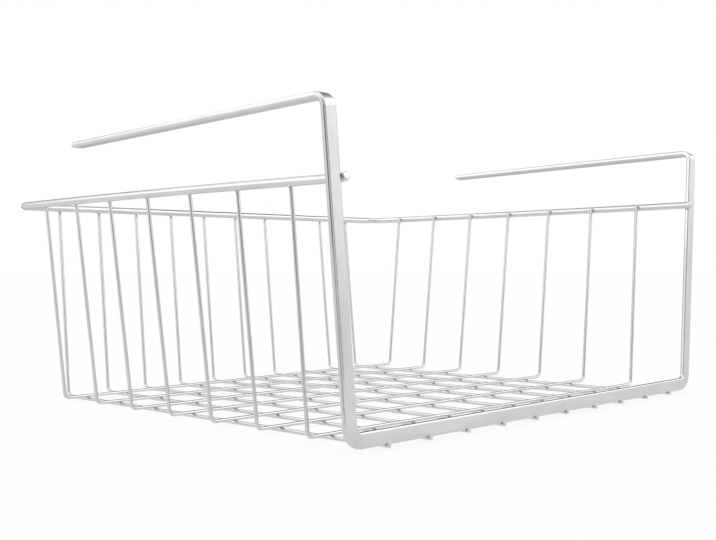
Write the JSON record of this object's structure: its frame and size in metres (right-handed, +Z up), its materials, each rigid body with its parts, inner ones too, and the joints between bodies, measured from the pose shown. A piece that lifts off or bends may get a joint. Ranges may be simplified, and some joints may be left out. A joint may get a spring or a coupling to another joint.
{
  "type": "cabinet basket",
  "caption": "Open wire basket with a bent flat-bar front frame whose two rear-facing arms slide over a shelf, so that the basket hangs below it.",
  "frame": {"origin": "bottom centre of the bounding box, on the surface that the basket can stand on", "axes": "+X to the right seen from the front, -Y to the open front, +Y to the rear wall, +Z up"},
  "size_m": [0.4174, 0.3556, 0.1911],
  "materials": {
    "frame_bar": "satin nickel plate",
    "rim_rod": "satin nickel plate",
    "wires": "satin nickel plate"
  },
  "bodies": {
    "root": {"front_frame": "frame_bar", "rim": "rim_rod", "cross_wire_1": "wires", "cross_wire_2": "wires", "cross_wire_3": "wires", "cross_wire_4": "wires", "cross_wire_5": "wires", "cross_wire_6": "wires", "cross_wire_7": "wires", "long_wire_1": "wires", "long_wire_2": "wires", "long_wire_3": "wires", "long_wire_4": "wires", "long_wire_5": "wires", "long_wire_6": "wires", "long_wire_7": "wires", "long_wire_8": "wires", "long_wire_9": "wires", "long_wire_10": "wires"}
  },
  "joints": []
}
